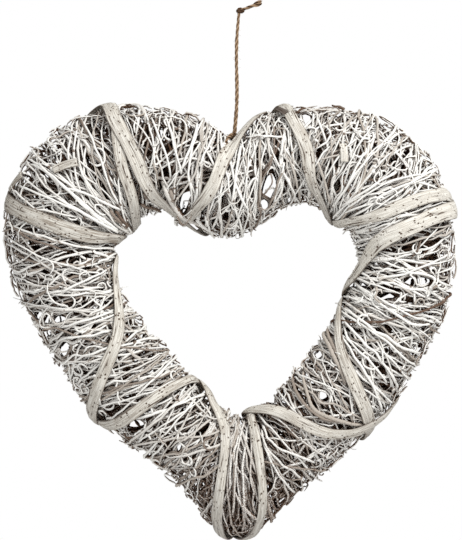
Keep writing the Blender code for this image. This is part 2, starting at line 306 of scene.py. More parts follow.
def tubeRun(points, radii, out=None, depth=0.0, tone=None):
    count = len(points)
    if out is None:
        out = np.tile([0.0, -1.0, 0.0], (count, 1))
    return {
        "points": points,
        "radii": np.broadcast_to(radii, (count,)).copy(),
        "out": out,
        "depth": np.broadcast_to(depth, (count,)).copy(),
        "tone": dice.random() if tone is None else tone,
    }


# Jute: strands twisted round each other, from the hitch on the cleft to the knot that it hangs by
jute = {
    "cord": {"strands": 3, "strandRadius": 0.00066, "strandOffset": 0.00058, "twistLength": 0.0155},
    "tail": {"strands": 2, "strandRadius": 0.00060, "strandOffset": 0.00050, "twistLength": 0.013},
    "loop": {"strands": 2, "strandRadius": 0.0009, "strandOffset": 0.0008, "twistLength": 0.011},
    "bow": 0.0009,
    "diameter": 0.0028,
    "intoKnot": 0.0030,
    "hairs": 60,
    "knotRadius": 0.0014,
    "knotStrand": 0.00095,
    "tailLength": 0.0152,
    "tailSlopes": (0.34, 0.46),
    "frayedHairs": 13,
    "hitchTurns": 2.4,
    "hitchRadius": 0.0023,
    "hitchStrand": 0.00125,
}


def twisted(line, strands, strandRadius, strandOffset, twistLength, swell=1.0):
    tangent = unit(np.gradient(line, axis=0))
    side = unit(np.cross(tangent, [0.0, 1.0, 0.0]))
    other = np.cross(tangent, side)
    turn = 2 * math.pi * travelledAlong(line) / twistLength
    loose = np.broadcast_to(swell, (len(line),))
    runs = []
    for start in np.arange(strands) * 2 * math.pi / strands:
        offset = side * np.cos(turn + start)[:, None] + other * np.sin(turn + start)[:, None]
        runs.append(tubeRun(line + offset * strandOffset * loose[:, None], strandRadius * loose, out=offset))
    return runs


hitchLow, hitchHigh = (np.array(corner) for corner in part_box("jute_hitch"))
cordLow, cordHigh = (np.array(corner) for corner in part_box("jute_cord"))
knotLow, knotHigh = (np.array(corner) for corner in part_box("jute_knot"))
cordFoot = np.array([(hitchLow[0] + hitchHigh[0]) / 2, 0, cordLow[2]])
cordTop = np.array([0, 0, cordHigh[2] + jute["intoKnot"]])
rise = np.linspace(0, 1, 160)[:, None]
cordLine = cordFoot + (cordTop - cordFoot) * rise + jute["bow"] * np.sin(2 * math.pi * rise) * [1, 0, 0]
cordSwell = 1.30 - 0.28 * rise[:, 0] + 0.06 * np.sin(rise[:, 0] * 19) + 0.06 * np.sin(rise[:, 0] * 43 + 1)
cord = tubeMesh("juteCord", twisted(cordLine, **jute["cord"], swell=cordSwell), 8)
print("cord made")

knotTurn = np.linspace(0, 2 * math.pi, 73)
knotRing = jute["knotRadius"] * (1 + 0.42 * np.cos(3 * knotTurn))
knotSeat = (knotLow + knotHigh) / 2 + [0.0010, 0, 0.0008]
knotLine = knotSeat + np.stack([
    knotRing * np.sin(2 * knotTurn) * 1.25,
    0.0010 * np.sin(3 * knotTurn),
    knotRing * np.cos(2 * knotTurn) * 0.75,
], axis=1)
knot = tubeMesh("juteKnot", [tubeRun(knotLine, jute["knotStrand"], out=knotLine - knotSeat)], 8)

hairReach = np.linspace(0, 1, 5)[:, None]
tailRuns = []
for number, (slope, side) in enumerate(zip(jute["tailSlopes"], (-1, 1)), start=1):
    run = np.linspace(0, jute["tailLength"], 34)
    share = run / run[-1]
    lift = slope * run * share + 0.0012 * np.sin(math.pi * share)
    lift -= 0.0004 * side * np.sin(2 * math.pi * share)
    line = knotSeat + [0.0010, 0, 0.0006] + np.stack([run, side * (0.0010 - 0.0003 * share), lift], axis=1)
    strands = twisted(line, **jute["tail"], swell=1 + 0.30 * share)
    for _ in range(jute["frayedHairs"]):
        begin = line[-6] + dice.normal(0, 0.0004, 3)
        heading = (line[-1] - line[-6]) * dice.uniform(0.6, 1.05) + dice.normal(0, 0.0007, 3)
        hair = begin + heading * hairReach + dice.normal(0, 0.00012, (5, 3))
        strands.append(tubeRun(hair, 0.00016 * (1.2 - hairReach[:, 0])))
    tailRuns.append(tubeMesh(f"juteTail{number}", strands, 6))

fuzzRuns = []
for _ in range(jute["hairs"]):
    at = dice.integers(2, len(cordLine) - 2)
    heading = dice.normal(0, 1, 3) * [1, 1, 0.7]
    heading /= np.linalg.norm(heading)
    length = dice.uniform(0.0010, 0.0026)
    start = cordLine[at] + heading * 0.0010
    bend = np.array([0, 0, dice.uniform(-1, 1)]) * length * 0.5 * hairReach**2
    fuzzRuns.append(tubeRun(start + heading * length * hairReach + bend, 0.00005))
fuzz = tubeMesh("juteFuzz", fuzzRuns, 4)

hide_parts("jute_cord")
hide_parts("jute_knot")
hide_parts("jute_tail_1")
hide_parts("jute_tail_2")

# The hitch: turns round the foot of the cord, and a loop that goes through the twigs down to the left
hitchMiddle = (hitchLow + hitchHigh) / 2
coil = np.linspace(0, 2 * math.pi * jute["hitchTurns"], 60)
coilRound = jute["hitchRadius"] * np.stack([np.cos(coil), np.sin(coil)], axis=1)
coilLine = hitchMiddle + np.c_[coilRound, np.linspace(-0.0022, 0.0022, 60)]
loopAngle = np.radians(np.linspace(-30, 40, 30))
loopShare = 0.006 - 0.020 * np.clip(np.sin(loopAngle), 0, 1)
loopLine = ringPoint(loopShare, loopAngle, 0.0008 - 0.010 * np.linspace(-1, 1, 30) ** 8)
hitchRuns = [tubeRun(coilLine, jute["hitchStrand"], out=coilLine - hitchMiddle)]
hitchRuns += twisted(loopLine, **jute["loop"])
hitch = tubeMesh("juteHitch", hitchRuns, 8)
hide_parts("jute_hitch")
print("hitch and knot made")


# Twigs, wound in layers from the heart of the ring outwards
twigLayers = {
    "coreTwigs": {"runs": 190, "halfTurns": (2, 5), "lift": (-0.026, -0.011), "radius": (0.0009, 0.0014),
                  "slant": 0.045, "sides": 4, "steps": 9, "jitter": 0.0007, "pieces": 1},
    "middleTwigs": {"runs": 290, "halfTurns": (2, 5), "lift": (-0.010, -0.0040), "radius": (0.0006, 0.0010),
                    "slant": 0.034, "sides": 4, "steps": 12, "jitter": 0.0006, "pieces": 2},
    "surfaceTwigs": {"runs": 215, "halfTurns": (1, 4), "lift": (-0.0042, -0.0012),
                     "radius": (0.00050, 0.00098), "slant": 0.036, "sides": 6, "steps": 16,
                     "jitter": 0.0005, "pieces": 2},
    "outerTwigs": {"runs": 130, "halfTurns": (1, 3), "lift": (-0.0016, 0.0003), "radius": (0.00050, 0.00096),
                   "slant": 0.036, "sides": 6, "steps": 16, "jitter": 0.00045, "pieces": 1},
}


def smoothNoise(count, bumps, size):
    marks = np.linspace(0, 1, max(2, bumps))
    return np.interp(np.linspace(0, 1, count), marks, dice.normal(0, size, len(marks)))


def twigRadii(count, radius, taper=0.3):
    share = np.linspace(0, 1, count)
    ends = np.clip(np.minimum(share, 1 - share) * count / 2.0, 0, 1)
    swell = 1 + smoothNoise(count, count // 2, 0.09) + 0.05 * dice.normal(0, 1, count)
    joints = dice.random(count) < 0.07  # knobs
    swell = np.where(joints, swell * 1.35, swell)
    return radius * swell * (taper + (1 - taper) * ends)


def laidRun(share, angle, lift, radii, jitter=0.0, tone=None):
    # a twig on the ring, with more points where it has to bend round a gap
    points = ringPoint(share, angle, lift)
    wobble = dice.normal(0, jitter, points.shape)
    offsets = np.abs(points[:, None, [0, 2]] - gaps[None, :, :2])
    if (offsets < gaps[None, :, 2:4] + gapMargin).all(axis=2).any():
        fine = np.linspace(0, len(points) - 1, (len(points) - 1) * 4 + 1)
        coarse = np.arange(len(points))
        share, angle, lift, radii = (
            np.interp(fine, coarse, values) for values in (share, angle, lift, radii)
        )
        wobble = np.stack([np.interp(fine, coarse, column) for column in wobble.T], axis=1)
        points = openGaps(ringPoint(share, angle, lift) + wobble)
    else:
        points = points + wobble
    return tubeRun(points, radii, out=outwardAt(share, angle, lift), depth=lift, tone=tone)


# How far the inner end of a pass over the front lies ahead of its outer end, at shares round the ring
leanMarks = ((0.00, -0.015), (0.04, -0.025), (0.08, -0.005), (0.19, 0.0), (0.23, 0.028), (0.27, 0.018),
             (0.31, 0.0), (0.50, 0.0), (0.56, -0.018), (0.62, -0.020), (0.70, -0.028), (0.77, -0.018),
             (0.82, 0.0), (0.95, 0.0), (1.00, -0.015))
goldenShare = 0.618034  # steps of this size spread the twigs evenly round the ring


def windingRun(layer, number):
    halves = int(dice.integers(layer["halfTurns"][0], layer["halfTurns"][1] + 1))
    steps = layer["steps"]
    drift = dice.choice([-1, 1]) * dice.uniform(0.002, 0.012)
    edges = [(number * goldenShare + dice.normal(0, 0.004)) % 1]
    behind = int(dice.integers(0, 2))
    for half in range(halves + 2):
        nearPoint = abs((edges[-1] % 1) - 0.5)
        calm = 0.35 + 0.65 * min(1.0, nearPoint / 0.10)
        lean = np.interp(edges[-1] % 1, *zip(*leanMarks)) * (1 if (half + behind) % 2 == 0 else -1)
        edges.append(edges[-1] + drift + lean + dice.normal(0, layer["slant"]) * calm)
    edges = np.array(edges)
    begin = dice.uniform(0, 1)
    turn = np.linspace(begin, begin + halves, halves * steps + 1)
    which = np.minimum(turn.astype(int), len(edges) - 2)
    mix = 0.5 - 0.5 * np.cos(math.pi * (turn - which))
    share = edges[which] * (1 - mix) + edges[which + 1] * mix + smoothNoise(len(turn), len(turn) // 4, 0.0020)
    angle = math.pi * (turn + behind)
    low, high = layer["lift"]
    lift = dice.uniform(low, high) + smoothNoise(len(turn), len(turn) // 6, 0.0010)
    lift = np.clip(lift, low - 0.003, high)
    lift[:2] -= (0.005, 0.002)  # both ends dip inwards
    lift[-2:] -= (0.002, 0.005)
    radii = twigRadii(len(turn), dice.uniform(*layer["radius"]))
    return laidRun(share, angle, lift, radii, layer["jitter"])


def splitMesh(name, runs, sides, count):
    # as several pieces, so that none grows too heavy
    if count == 1:
        return [tubeMesh(name, runs, sides)]
    share = math.ceil(len(runs) / count)
    parts = [runs[start : start + share] for start in range(0, len(runs), share)]
    return [tubeMesh(f"{name}{number}", part, sides) for number, part in enumerate(parts, start=1)]


pieces = []
surfaceRuns = []
for name, layer in twigLayers.items():
    runs = [windingRun(layer, number) for number in range(layer["runs"])]
    if name in ("surfaceTwigs", "outerTwigs"):
        surfaceRuns += runs
    pieces += splitMesh(name, runs, layer["sides"], layer["pieces"])
    print(name, "made,", len(runs), "runs")


# Twigs that lie along the ring, short cross bits, curls, side shoots and buds
shareLength, turnLength = 0.80, 0.037  # of one round of the ring, and of one radian about it


def straightRun(share, angle, heading, length, lift, radius, bow=0.0, count=10):
    # heading 0 runs along the ring, 90 degrees across it
    reach = np.linspace(-0.5, 0.5, count) * length
    shares = share + (reach * math.cos(heading) - bow * reach**2 / length * math.sin(heading)) / shareLength
    angles = angle + (reach * math.sin(heading) + bow * reach**2 / length * math.cos(heading)) / turnLength
    lifts = lift - 0.0035 * (2 * np.abs(reach) / length) ** 4 + smoothNoise(count, 4, 0.0004)
    return laidRun(shares, angles, lifts, twigRadii(count, radius), 0.00035)


looseTwigs = {"along": 130, "crossing": 1250, "curls": 1200, "shoots": 700, "buds": 1500,
              "bareBuds": 0.5, "outerCurls": 0.45, "farthest": 0.0405}
runs = []
for _ in range(looseTwigs["along"]):
    runs.append(straightRun(dice.random(), dice.uniform(0, 2 * math.pi), dice.normal(0, 0.35),
                            dice.uniform(0.03, 0.10), dice.uniform(-0.007, -0.001),
                            dice.uniform(0.0007, 0.0011), dice.normal(0, 0.5), 14))
for _ in range(looseTwigs["crossing"]):
    runs.append(straightRun(dice.random(), dice.uniform(0, 2 * math.pi), dice.normal(math.pi / 2, 0.75),
                            dice.uniform(0.008, 0.028), dice.uniform(-0.005, 0.0006),
                            dice.uniform(0.00040, 0.00085), dice.normal(0, 0.9)))
pieces += splitMesh("crossTwigs", runs, 6, 2)

runs = []
for _ in range(looseTwigs["curls"]):
    share = dice.random()
    outer = dice.random() < looseTwigs["outerCurls"]  # many lie at the outer edge
    angle = dice.normal(0, 0.75) if outer else dice.uniform(0, 2 * math.pi)
    size = dice.uniform(0.0015, 0.0058)
    sweep = np.linspace(0, dice.uniform(1.8, 5.4), 11) + dice.uniform(0, 6.3)
    shares = share + size * np.cos(sweep) / shareLength
    angles = angle + size * np.sin(sweep) / turnLength
    lifts = dice.uniform(-0.006, 0.0008) + 0.0012 * np.sin(sweep * 0.7 + dice.uniform(0, 6))
    runs.append(laidRun(shares, angles, lifts, twigRadii(11, dice.uniform(0.00050, 0.00092)), 0.0002))
pieces += splitMesh("curls", runs, 6, 2)

runs = []
for number in range(looseTwigs["shoots"] + looseTwigs["buds"]):
    parent = surfaceRuns[dice.integers(len(surfaceRuns))]
    at = int(dice.integers(2, len(parent["points"]) - 2))
    start, out = parent["points"][at], parent["out"][at]
    ahead = parent["points"][at + 1] - parent["points"][at - 1]
    ahead /= np.linalg.norm(ahead)
    heading = ahead * dice.choice([-1, 1]) * dice.uniform(0.5, 1.2) + out * dice.uniform(-0.1, 0.5)
    heading += dice.normal(0, 0.33, 3)
    heading /= np.linalg.norm(heading)
    thick = parent["radii"][at] * dice.uniform(0.6, 0.95)
    if number < looseTwigs["shoots"]:
        length = dice.uniform(0.003, 0.0075)
        reach = np.linspace(0, 1, 6)[:, None]
        bend = dice.normal(0, 0.25, 3) * length * reach**2
        path = start + heading * length * reach + bend + dice.normal(0, 0.00012, (6, 3))
        radii = thick * np.array([1.0, 0.95, 0.9, 0.85, 0.8, 0.6])
        tone = parent["tone"]
    else:
        length = dice.uniform(0.0012, 0.0028)
        reach = np.linspace(0, 1, 4)[:, None]
        path = start + heading * length * reach
        radii = thick * np.array([1.2, 1.55, 1.1, 0.4])
        tone = 0.02 if dice.random() < looseTwigs["bareBuds"] else parent["tone"]
    path[:, 1] = np.clip(path[:, 1], -looseTwigs["farthest"], looseTwigs["farthest"])
    out = np.tile(out, (len(path), 1))
    runs.append(tubeRun(path, radii, out=out, depth=parent["depth"][at], tone=tone))
pieces += splitMesh("shootsAndBuds", runs, 6, 1)
print("loose twigs made")

# The few thick canes that show between the strips: places as share and degrees, radius, tone
canes = [
    ([(0.378, 165), (0.393, 124), (0.402, 102), (0.400, 84), (0.394, 64), (0.385, 38), (0.372, 5)],
     0.0015, 0.12),
    ([(0.388, 180), (0.398, 142), (0.404, 116), (0.405, 98), (0.402, 80), (0.392, 58)], 0.0012, 0.06),
    ([(0.334, 195), (0.341, 164), (0.345, 142), (0.352, 122), (0.356, 110), (0.366, 90)], 0.0017, 0.10),
    ([(0.330, 185), (0.336, 160), (0.342, 138), (0.348, 120), (0.354, 106), (0.362, 92)], 0.0014, 0.05),
    ([(0.932, 118), (0.941, 134), (0.950, 147), (0.964, 158), (0.980, 176)], 0.0021, 0.30),
    ([(-0.040, 122), (-0.038, 134), (-0.034, 146), (-0.024, 158), (-0.010, 176)], 0.0018, 0.55),
    ([(0.843, 30), (0.841, 54), (0.839, 88), (0.832, 130), (0.826, 158)], 0.0013, 0.85),
    ([(0.830, 66), (0.828, 104), (0.824, 136), (0.820, 160)], 0.0012, 0.90),
    ([(0.488, 26), (0.492, 42), (0.499, 62), (0.508, 80)], 0.0013, 0.70),
    ([(0.894, 16), (0.897, 3), (0.903, -3), (0.909, 8), (0.913, 24), (0.915, 42)], 0.0018, 0.30),
    ([(0.897, 12), (0.900, 2), (0.905, 0), (0.910, 14), (0.912, 30)], 0.0013, 0.45),
]
runs = []
for marks, radius, tone in canes:
    marks = np.array(marks)
    at = np.arange(len(marks), dtype=float)
    fine = np.linspace(0, at[-1], 9 * len(marks))
    share, angle = openSpline(at, marks[:, 0], fine), np.radians(openSpline(at, marks[:, 1], fine))
    lift = 0.0004 - 0.0060 * np.abs(np.linspace(-1, 1, len(fine))) ** 6
    swell = 1 + 0.05 * smoothNoise(len(fine), 12, 1.0)
    radii = radius * swell * (0.6 + 0.4 * np.sin(np.linspace(0.15, math.pi - 0.15, len(fine))))
    runs.append(laidRun(share, angle, lift, radii, 0.00012, tone))
pieces.append(tubeMesh("thickCanes", runs, 10))

# Long twigs that stand out in front, by where they run as seen from there: x and z in mm, radius, tone
longTwigs = [
    ([(86, -206), (108, -223), (128, -237), (145, -238)], 0.0011, 0.80),
    ([(76, -225), (97, -238), (118, -252), (138, -261)], 0.0012, 0.90),
    ([(77, -231), (92, -249), (108, -266), (121, -287)], 0.0011, 0.70),
    ([(79, -238), (86, -254), (102, -269), (112, -283)], 0.0010, 0.85),
    ([(85, -205), (112, -222), (131, -232), (143, -234)], 0.0009, 0.40),
    ([(76, -228), (102, -244), (126, -264), (135, -270)], 0.0010, 0.60),
    ([(-157, -115), (-135, -132), (-112, -153), (-96, -167)], 0.0011, 0.90),
    ([(-144, -124), (-122, -143), (-103, -159)], 0.0010, 0.75),
    ([(-169, -132), (-143, -143), (-119, -154), (-94, -164)], 0.0010, 0.80),
    ([(-132, -134), (-112, -141), (-86, -153)], 0.0011, 0.65),
    ([(-119, -83), (-108, -105), (-99, -130), (-90, -152)], 0.0009, 0.85),
    ([(5, -96), (19, -96), (34, -96)], 0.0010, 0.90),
    ([(16, -96), (16, -122), (17, -149)], 0.0009, 0.08),
    ([(2, -99), (-2, -124), (-5, -149)], 0.0012, 0.80),
    ([(34, -115), (30, -132), (26, -149)], 0.0009, 0.50),
    ([(72, -149), (84, -128), (96, -107)], 0.0010, 0.85),
    ([(76, -150), (99, -135), (121, -121)], 0.0011, 0.90),
    ([(74, -145), (88, -125), (103, -107)], 0.0009, 0.60),
    ([(89, -152), (120, -135), (152, -120)], 0.0010, 0.80),
    ([(60, -114), (64, -130), (70, -147)], 0.0010, 0.10),
    ([(-137, -250), (-117, -247), (-97, -243)], 0.0010, 0.90),
    ([(-137, -214), (-118, -206), (-99, -196)], 0.0009, 0.70),
    ([(-137, -241), (-115, -235), (-95, -228)], 0.0010, 0.80),
    ([(-55, -79), (-49, -103), (-43, -126)], 0.0011, 0.90),
    ([(-30, -85), (-37, -105), (-45, -123)], 0.0011, 0.80),
    ([(-17, -89), (-24, -105), (-32, -121)], 0.0010, 0.70),
    ([(-67, -81), (-57, -105), (-51, -128)], 0.0010, 0.85),
    ([(-52, -136), (-50, -146), (-45, -154), (-40, -158), (-35, -156)], 0.0020, 0.055),
    ([(34, -121), (29, -134), (22, -152)], 0.0009, 0.04),
    ([(21, -123), (25, -131), (17, -141)], 0.0007, 0.03),
    ([(5, -312), (-1, -335), (-4, -365), (-5, -384)], 0.0010, 0.55),
    ([(7, -313), (4, -338), (3, -365), (6, -386)], 0.0010, 0.80),
    ([(9, -315), (9, -338), (10, -365), (14, -383)], 0.0009, 0.45),
    ([(2, -315), (-5, -338), (-8, -365)], 0.0010, 0.70),
    ([(10, -319), (13, -342), (14, -365)], 0.0009, 0.30),
    ([(18, -315), (25, -327), (39, -336), (58, -343)], 0.0011, 0.75),
    ([(17, -318), (22, -333), (34, -345), (49, -357)], 0.0010, 0.60),
    ([(18, -324), (24, -342), (34, -357), (42, -366)], 0.0010, 0.85),
    ([(-76, -147), (-68, -150), (-60, -153)], 0.0013, 0.02),
    ([(-73, -139), (-67, -144), (-61, -148)], 0.0012, 0.03),
    ([(-94, -152), (-89, -159), (-84, -165)], 0.0013, 0.01),
    ([(-98, -151), (-92, -160), (-85, -167)], 0.0013, 0.03),
    ([(-112, -182), (-102, -186), (-94, -188)], 0.0012, 0.70),
    ([(-108, -192), (-101, -189), (-94, -184)], 0.0011, 0.50),
    ([(-25, -154), (-23, -165), (-19, -172)], 0.0011, 0.60),
    ([(-31, -162), (-24, -168), (-17, -172)], 0.0011, 0.40),
]
longLift, endDip, slimmer = 0.0008, 0.006, 0.85  # over the ring, at the ends, and against the radius given
frontGrid = np.meshgrid(np.linspace(-0.05, 1, 1051), np.radians(np.linspace(0, 180, 91)), indexing="ij")
frontShare, frontAngle = (grid.ravel() for grid in frontGrid)
front = ringPoint(frontShare, frontAngle, 0.0)
runs = []
for marks, radius, tone in longTwigs:
    line = np.array(marks) / 1000
    at = np.arange(len(line), dtype=float)
    fine = np.linspace(0, at[-1], 14 * (len(line) - 1) + 1)
    x, z = openSpline(at, line[:, 0], fine), openSpline(at, line[:, 1], fine)
    found = [int(np.argmin((front[:, 0] - a) ** 2 + (front[:, 2] - b) ** 2)) for a, b in zip(x, z)]
    share, angle = frontShare[found], frontAngle[found]
    depth = ringPoint(share, angle, longLift)[:, 1]
    away = 1 - np.abs(np.linspace(-1, 1, len(fine))) ** 8
    wobble = np.stack([smoothNoise(len(x), len(x) // 4, 0.0005) for _ in range(3)], axis=1)
    points = np.stack([x, depth * away + (depth + endDip) * (1 - away), z], axis=1) + wobble
    radii = twigRadii(len(x), radius * slimmer, 0.6)
    runs.append(tubeRun(points, radii, out=outwardAt(share, angle, 0.0), depth=0.0005, tone=tone))
pieces.append(tubeMesh("longTwigs", runs, 8))
print("canes and long twigs made")

vines = [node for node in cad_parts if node.startswith("vine_wrap")]
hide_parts("twig_body")
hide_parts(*vines)


# Bark strips: places at 0, 45, 90, 135 and 180 degrees, widths outside, in front and inside as shares,
# whether it runs over others, and how pale it is
strips = {
    "usualWidth": 0.0112,
    "thickness": 0.0013,
    "rows": 84,
    "columns": 10,
    "crown": 0.0011,
    "lift": 0.0006,
    "over": 0.0017,
    "overNear": 0.026,  # a strip starts to rise this near to one below it
    "overFade": 0.012,  # and has risen this much nearer
    "innerRise": {"barkStripThirteen": 0.0013},  # how much higher a strip lies by its inner end
    "innerRiseAt": 160,  # degrees
    "innerRiseSpread": 0.5,  # radians
    "usualStray": 0.16,  # how far towards the next one a strip has moved just behind the edges
    "stray": {"barkStripOne": 0.42},
    "laps": [
        ("barkStripEight", (0.066, 0.071, 0.080, 0.087, 0.122), (0.70, 0.90, 0.55), True, 0.93),
        ("barkStripNine", (0.194, 0.195, 0.203, 0.228, 0.280), (1.15, 1.02, 0.85), True, 1.00),
        ("barkStripTen", (0.352, 0.396, 0.418, 0.430, 0.456), (0.66, 0.84, 0.66), True, 0.93),
        ("barkStripEleven", (0.512, 0.517, 0.522, 0.544, 0.590), (1.00, 0.88, 0.72), True, 0.94),
        ("barkStripTwelve", (0.639, 0.653, 0.671, 0.704, 0.762), (0.95, 0.88, 0.58), True, 0.93),
        ("barkStripThirteen", (0.891, 0.8945, 0.906, 0.929, 0.972), (1.02, 0.98, 0.60), True, 0.95),
        ("barkStripOne", (0.044, 0.001, -0.017, -0.032, -0.043), (0.90, 0.82, 0.60), False, 0.96),
        ("barkStripTwo", (0.188, 0.183, 0.182, 0.176, 0.145), (0.90, 0.86, 0.60), False, 0.98),
        ("barkStripThree", (0.388, 0.375, 0.358, 0.333, 0.300), (0.92, 0.82, 0.44), False, 0.92),
        ("barkStripFour", (0.500, 0.489, 0.478, 0.462, 0.451), (0.75, 0.74, 0.52), False, 0.93),
        ("barkStripFive", (0.634, 0.621, 0.616, 0.609, 0.600), (0.80, 0.70, 0.50), False, 0.90),
        ("barkStripSix", (0.817, 0.813, 0.807, 0.803, 0.806), (1.15, 1.10, 0.80), False, 0.81),
        ("barkStripSeven", (0.893, 0.894, 0.893, 0.895, 0.884), (0.70, 0.80, 0.85), False, 0.93),
    ],
}


def lapPath(lap):
    # a strip's way once round, which leads to the next strip of its kind behind
    name, places, _, over, _ = lap
    kin = sorted((other for other in strips["laps"] if other[3] == over), key=lambda other: other[1][2])
    i = kin.index(lap)
    last, following = kin[i - 1][1], kin[(i + 1) % len(kin)][1]
    lastTurn, nextTurn = (1 if i == 0 else 0), (1 if i == len(kin) - 1 else 0)
    outer, inner = places[0], places[4]
    if over:
        start, end = (last[4] - lastTurn + outer) / 2, (inner + following[0] + nextTurn) / 2
    else:
        start, end = (outer + following[4] + nextTurn) / 2, (last[0] - lastTurn + inner) / 2
    angle = np.linspace(math.radians(-93), math.radians(273), strips["rows"] + 1)
    marks = np.radians([-90, -30, 0, 45, 90, 135, 180, 210, 270])
    usual = strips["usualStray"]
    stray = strips["stray"].get(name, usual)
    early, late = (1 - usual) * outer + usual * start, (1 - stray) * inner + stray * end
    return openSpline(marks, np.array([start, early, *places, late, end]), angle), angle


def stripMesh(name, share, angle, lift, width, seed, pale):
    rows, columns = len(share) - 1, strips["columns"]
    own = np.random.default_rng(seed)
    nudge = 1e-4
    points = ringPoint(share, angle, lift)
    alongRing = (ringPoint(share + nudge, angle, lift) - points) / nudge
    about = (ringPoint(share, angle + nudge, lift) - points) / nudge
    normal = unit(np.cross(about, alongRing))
    side = unit(np.cross(np.gradient(points, axis=0), normal))
    sideShare = (side * alongRing).sum(axis=1) / np.maximum((alongRing**2).sum(axis=1), 1e-9)
    sideAngle = (side * about).sum(axis=1) / (about**2).sum(axis=1)
    travelled = travelledAlong(points)

    def waver(size, spacing):
        marks = np.arange(0, travelled[-1] + spacing, spacing)
        return np.interp(travelled, marks, own.normal(0, size, len(marks)))

    halfWidth = width / 2 * (1 + waver(0.035, 0.02))
    edgeNear, edgeFar = waver(0.00022, 0.005), waver(0.00022, 0.005)
    sway = waver(0.0004, 0.035)
    ridge = np.array([waver(0.00013, 0.04) + own.normal(0, 0.00012) for _ in range(columns + 1)])
    cup = 0.75 + waver(0.30, 0.05)
    shape = bmesh.new()
    bmesh.ops.create_grid(shape, x_segments=columns, y_segments=rows, size=0.5)
    row = np.array([round((vertex.co.y + 0.5) * rows) for vertex in shape.verts])
    column = np.array([round((vertex.co.x + 0.5) * columns) for vertex in shape.verts])
    aside = column / columns * 2 - 1
    fray = np.where(column == 0, edgeNear[row], 0) + np.where(column == columns, edgeFar[row], 0)
    across = aside * halfWidth[row] + sway[row] + fray
    height = lift[row] + strips["crown"] * (1 - aside**2) * cup[row] + ridge[column, row]
    spots = ringPoint(share[row] + sideShare[row] * across, angle[row] + sideAngle[row] * across, height)
    for vertex, spot in zip(shape.verts, spots):
        vertex.co = spot
    mesh = bpy.data.meshes.new(name)
    shape.to_mesh(mesh)
    shape.free()
    # across and along the strip, and each strip in a place of its own
    place = np.stack([aside * halfWidth[row], travelled[row] + seed * 1.7, np.zeros(len(row))], axis=1)
    writeAttribute(mesh, "place", place)
    writeAttribute(mesh, "edge", np.abs(aside))
    writeAttribute(mesh, "down", -outwardAt(share, angle, lift)[row, 2])
    writeAttribute(mesh, "pale", np.full(len(row), pale))
    mesh.shade_smooth()
    piece = addObject(name, mesh)
    wall = piece.modifiers.new("wall", "SOLIDIFY")
    wall.thickness = strips["thickness"]
    wall.offset = 1
    wall.use_even_offset = False
    soft = piece.modifiers.new("softEdges", "SUBSURF")
    soft.levels = soft.render_levels = 1
    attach(piece, "root")
    return piece


underLaps = [lap for lap in strips["laps"] if not lap[3]]
underPoints = np.concatenate([ringPoint(*lapPath(lap), strips["lift"]) for lap in underLaps])
stripPieces = []
for number, lap in enumerate(strips["laps"], start=1):
    name, _, widths, over, pale = lap
    share, angle = lapPath(lap)
    lift = np.full_like(angle, strips["lift"])
    marks = np.radians([-60, 20, 90, 150, 240])
    width = strips["usualWidth"] * np.interp(angle, marks, [1.0, *widths, 1.0])
    if over:
        flat = ringPoint(share, angle, lift)
        away = np.linalg.norm(flat[:, None] - underPoints[None], axis=2).min(axis=1)
        near = np.clip((strips["overNear"] - away) / strips["overFade"], 0, 1)
        lift = lift + strips["over"] * near * near * (3 - 2 * near)
    past = (angle - math.radians(strips["innerRiseAt"])) / strips["innerRiseSpread"]
    lift = lift + strips["innerRise"].get(name, 0.0) * np.exp(-(past**2))
    piece = stripMesh(name, share, angle, lift, width, number, pale)
    order = (number + 7) if number <= 6 else (number - 6)  # in the solids those below come first
    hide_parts(f"bark_strip_{order:02d}")
    stripPieces.append(piece)

# Short bits of bark: name, middle as share and degrees, half run as share and degrees, width, lift, how pale
bits = [
    ("barkScrap", 0.8520, 65, 0.0080, 5, 0.0060, 0.0010, 0.92),
    ("barkPatch", 0.1125, 81, 0.0025, 9, 0.0050, -0.0002, 0.97),
    ("barkFlap", 0.8270, 20, 0.0050, 8, 0.0050, 0.0006, 0.76),
    # barkFold is kept nearly bare and dark: partly the bark's own unpainted underside, partly painted shadow
    # under a strip's tip
    ("barkFold", 0.0640, 27, 0.0030, 8, 0.0048, 0.0022, 0.12),
]
for name, share, degrees, shareRun, degreesRun, width, lift, pale in bits:
    along = np.linspace(-1, 1, 13)
    angle = np.radians(degrees + degreesRun * along)
    seed = 31 + len(stripPieces)
    stripPieces.append(stripMesh(name, share + shareRun * along, angle, np.full(13, lift), width, seed, pale))
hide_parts("bark_scrap")
print("bark strips made")


# Finishes
def newGroup(name, inputs, output):
    group = bpy.data.node_groups.new(name, "ShaderNodeTree")
    for label, kind, value in inputs:
        socket = group.interface.new_socket(label, in_out="INPUT", socket_type=kind)
        if value is not None:
            socket.default_value = value
    group.interface.new_socket(output, in_out="OUTPUT", socket_type="NodeSocketFloat")
    given = group.nodes.new("NodeGroupInput").outputs
    return group, given, group.nodes.new("NodeGroupOutput").inputs[output]


def addNode(tree, kind, settings=(), **links):
    # a link goes to the socket of its name, or to at0, at1 by place
    node = tree.nodes.new(kind)
    for key, value in dict(settings).items():
        setattr(node, key, value)
    for key, value in links.items():
        socket = node.inputs[int(key[2:])] if key.startswith("at") else node.inputs[key]
        if isinstance(value, bpy.types.NodeSocket):
            tree.links.new(value, socket)
        else:
            socket.default_value = value
    return node


def readAttribute(tree, name, output="Fac"):
    return addNode(tree, "ShaderNodeAttribute", {"attribute_name": name}).outputs[output]


def reckon(tree, operation, first, second):
    return addNode(tree, "ShaderNodeMath", {"operation": operation}, at0=first, at1=second).outputs[0]


def ramped(tree, value, low, high, top=1.0, bottom=0.0, kind="LINEAR"):
    ends = {"From Min": low, "From Max": high, "To Min": bottom, "To Max": top}
    node = addNode(tree, "ShaderNodeMapRange", {"interpolation_type": kind}, Value=value, **ends)
    return node.outputs["Result"]


